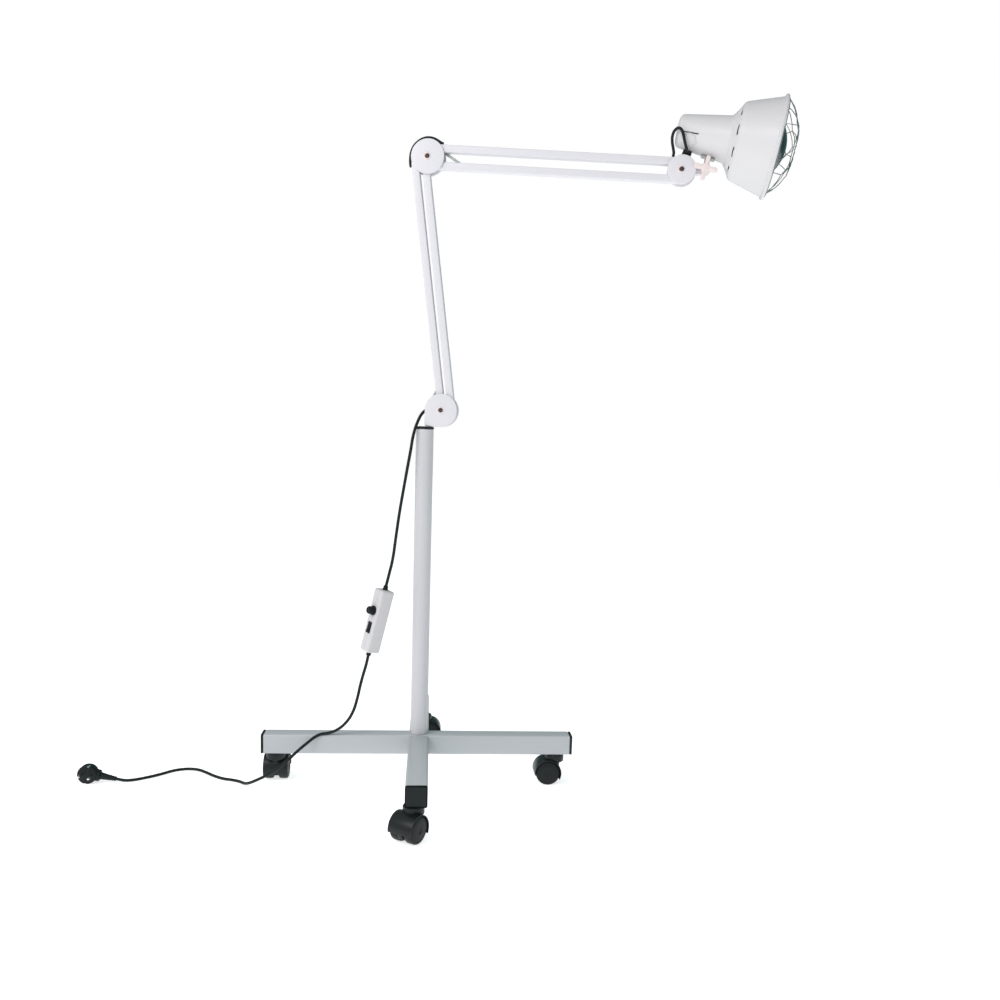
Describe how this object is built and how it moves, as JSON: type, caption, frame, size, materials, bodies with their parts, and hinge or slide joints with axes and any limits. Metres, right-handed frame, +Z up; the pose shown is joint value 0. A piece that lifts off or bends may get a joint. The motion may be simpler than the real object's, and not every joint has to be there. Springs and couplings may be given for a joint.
{
  "type": "infrared heat therapy lamp on wheeled stand",
  "caption": "Floor-standing infrared heat lamp: bell shade on a balanced parallel arm, square-tube cross base on casters, corded dimmer box and round mains plug.",
  "frame": {"origin": "centre of the standing lamp's footprint on the floor, cord left out", "axes": "+Z up, +X along the cross tube towards the lamp head, +Y away from the viewer"},
  "size_m": [1.3548, 0.6666, 1.3439],
  "materials": {
    "grey_paint": "satin powder coat",
    "pole_paint": "satin powder coat",
    "arm_paint": "satin powder coat",
    "shade_paint": "satin white enamel",
    "black_plastic": "fine moulded",
    "black_rubber": "matt",
    "tread": "matt",
    "dark_steel": "dark plated",
    "zinc_steel": "zinc plated",
    "box_plastic": "smooth moulded",
    "knob_plastic": "smooth moulded",
    "ceramic": "glazed ceramic",
    "bulb_glass": "dark face over a mirrored bowl",
    "guard_wire": "dull plated wire"
  },
  "bodies": {
    "stand": {"cross_tube": "grey_paint", "front_leg": "grey_paint", "rear_leg": "grey_paint", "end_cap_right": "black_plastic", "end_cap_rear": "black_plastic", "end_cap_left": "black_plastic", "end_cap_front": "black_plastic", "pole": "pole_paint", "pole_bolt": "zinc_steel", "collar_ring": "black_plastic", "cord_upper": "black_rubber", "cord_lower": "black_rubber", "box_front_shell": "box_plastic", "box_rear_shell": "box_plastic", "box_bush_top": "black_rubber", "box_bush_bottom": "black_rubber", "mains_plug": "black_rubber"},
    "arm_bracket": {"swivel_stem": "arm_paint", "lower_joint_plate_front": "arm_paint", "lower_joint_plate_rear": "arm_paint", "lower_joint_bolt": "dark_steel"},
    "lower_arm_left": {"lower_tube_left": "arm_paint", "lower_balance_spring": "zinc_steel"},
    "lower_arm_right": {"lower_tube_right": "arm_paint"},
    "lower_balance_link": {"lower_link": "zinc_steel"},
    "elbow": {"elbow_plate_front": "arm_paint", "elbow_plate_rear": "arm_paint", "elbow_bolt": "dark_steel", "elbow_lead": "black_rubber"},
    "upper_arm_top": {"upper_tube_top": "arm_paint"},
    "upper_arm_bottom": {"upper_tube_bottom": "arm_paint", "upper_balance_spring": "zinc_steel"},
    "upper_balance_link": {"upper_link": "zinc_steel"},
    "head_bracket": {"head_plate_front": "arm_paint", "head_plate_rear": "arm_paint", "head_joint_bolt": "dark_steel", "knuckle": "arm_paint"},
    "head": {"clamp_fork": "zinc_steel", "pivot_bolt": "zinc_steel", "lamp_housing": "shade_paint", "cable_gland": "black_plastic", "head_lead": "black_rubber", "lamp_socket": "ceramic", "infrared_bulb": "bulb_glass", "wire_guard": "guard_wire"},
    "clamp_knob": {"wing_knob": "knob_plastic"},
    "dimmer": {"dimmer_knob": "black_plastic"},
    "rocker": {"rocker_switch": "black_plastic"},
    "caster_fork_right": {"caster_right_hood": "black_plastic"},
    "caster_wheels_right": {"caster_right_wheel_axle_side": "tread", "caster_right_wheel_far_side": "tread"},
    "caster_fork_left": {"caster_left_hood": "black_plastic"},
    "caster_wheels_left": {"caster_left_wheel_axle_side": "tread", "caster_left_wheel_far_side": "tread"},
    "caster_fork_front": {"caster_front_hood": "black_plastic"},
    "caster_wheels_front": {"caster_front_wheel_axle_side": "tread", "caster_front_wheel_far_side": "tread"},
    "caster_fork_rear": {"caster_rear_hood": "black_plastic"},
    "caster_wheels_rear": {"caster_rear_wheel_axle_side": "tread", "caster_rear_wheel_far_side": "tread"}
  },
  "joints": [
    {"name": "arm_swivel", "type": "hinge", "parent": "stand", "child": "arm_bracket", "pos_m": [-0.17891, 0.01532, 0], "axis": [0, 0, 1], "range_deg": [-120, 120], "deforming": ["cord_upper"]},
    {"name": "lower_arm_tilt", "type": "hinge", "parent": "arm_bracket", "child": "lower_arm_left", "pos_m": [-0.1481, 0.00877, 0.7799], "axis": [0.2079, 0.9781, 0], "range_deg": [-30, 45]},
    {"name": "lower_arm_right_tilt", "type": "hinge", "parent": "arm_bracket", "child": "lower_arm_right", "pos_m": [-0.12834, 0.00457, 0.7799], "axis": [0.2079, 0.9781, 0], "range_deg": [-30, 45]},
    {"name": "lower_link_tilt", "type": "hinge", "parent": "arm_bracket", "child": "lower_balance_link", "pos_m": [-0.16962, 0.01334, 0.7789], "axis": [0.2079, 0.9781, 0], "range_deg": [-30, 45]},
    {"name": "elbow_level", "type": "hinge", "parent": "lower_arm_left", "child": "elbow", "pos_m": [-0.20666, 0.02122, 1.23044], "axis": [0.2079, 0.9781, 0], "range_deg": [-45, 30], "deforming": ["elbow_lead"]},
    {"name": "upper_arm_tilt", "type": "hinge", "parent": "elbow", "child": "upper_arm_top", "pos_m": [-0.16128, 0.01157, 1.25824], "axis": [0.2079, 0.9781, 0], "range_deg": [-41, 36], "deforming": ["elbow_lead"]},
    {"name": "upper_arm_bottom_tilt", "type": "hinge", "parent": "elbow", "child": "upper_arm_bottom", "pos_m": [-0.16128, 0.01157, 1.22664], "axis": [0.2079, 0.9781, 0], "range_deg": [-41, 36]},
    {"name": "upper_link_tilt", "type": "hinge", "parent": "elbow", "child": "upper_balance_link", "pos_m": [-0.16128, 0.01157, 1.25824], "axis": [0.2079, 0.9781, 0], "range_deg": [-41, 36]},
    {"name": "head_level", "type": "hinge", "parent": "upper_arm_top", "child": "head_bracket", "pos_m": [0.28085, -0.08241, 1.23138], "axis": [0.2079, 0.9781, 0], "range_deg": [-36, 41], "deforming": ["head_lead"]},
    {"name": "head_tilt", "type": "hinge", "parent": "head_bracket", "child": "head", "pos_m": [0.33044, -0.09295, 1.21558], "axis": [0.2079, 0.9781, 0], "range_deg": [-6, 85], "deforming": ["head_lead"]},
    {"name": "knob_turn", "type": "hinge", "parent": "head", "child": "clamp_knob", "pos_m": [0.33044, -0.09295, 1.21558], "axis": [0.2079, 0.9781, 0], "range_deg": [0, 360]},
    {"name": "dimmer_turn", "type": "hinge", "parent": "stand", "child": "dimmer", "pos_m": [-0.26181, -0.01168, 0.36246], "axis": [0.7772, 0.6018, -0.1837], "range_deg": [0, 270]},
    {"name": "rocker_press", "type": "hinge", "parent": "stand", "child": "rocker", "pos_m": [-0.28074, -0.02011, 0.33097], "axis": [0.5857, -0.7986, -0.1384], "range_deg": [0, 12]},
    {"name": "caster_swivel_right", "type": "hinge", "parent": "stand", "child": "caster_fork_right", "pos_m": [0.11309, 0.01532, 0], "axis": [0, 0, 1], "continuous": true},
    {"name": "caster_roll_right", "type": "hinge", "parent": "caster_fork_right", "child": "caster_wheels_right", "pos_m": [0.09109, 0.01532, 0.025], "axis": [0, -1, 0], "continuous": true},
    {"name": "caster_swivel_left", "type": "hinge", "parent": "stand", "child": "caster_fork_left", "pos_m": [-0.47091, 0.01532, 0], "axis": [0, 0, 1], "continuous": true},
    {"name": "caster_roll_left", "type": "hinge", "parent": "caster_fork_left", "child": "caster_wheels_left", "pos_m": [-0.47091, 0.03732, 0.025], "axis": [-1, 0, 0], "continuous": true},
    {"name": "caster_swivel_front", "type": "hinge", "parent": "stand", "child": "caster_fork_front", "pos_m": [-0.17891, -0.27668, 0], "axis": [0, 0, 1], "continuous": true},
    {"name": "caster_roll_front", "type": "hinge", "parent": "caster_fork_front", "child": "caster_wheels_front", "pos_m": [-0.19153, -0.2947, 0.025], "axis": [0.8192, -0.5736, 0], "continuous": true},
    {"name": "caster_swivel_rear", "type": "hinge", "parent": "stand", "child": "caster_fork_rear", "pos_m": [-0.17891, 0.30732, 0], "axis": [0, 0, 1], "continuous": true},
    {"name": "caster_roll_rear", "type": "hinge", "parent": "caster_fork_rear", "child": "caster_wheels_rear", "pos_m": [-0.15691, 0.30732, 0.025], "axis": [0, 1, 0], "continuous": true}
  ],
  "couplings": [
    {"joint": "lower_arm_right_tilt", "follows": "lower_arm_tilt", "ratio": 1},
    {"joint": "lower_link_tilt", "follows": "lower_arm_tilt", "ratio": 1},
    {"joint": "elbow_level", "follows": "lower_arm_tilt", "ratio": -1},
    {"joint": "upper_arm_bottom_tilt", "follows": "upper_arm_tilt", "ratio": 1},
    {"joint": "upper_link_tilt", "follows": "upper_arm_tilt", "ratio": 1},
    {"joint": "head_level", "follows": "upper_arm_tilt", "ratio": -1}
  ]
}
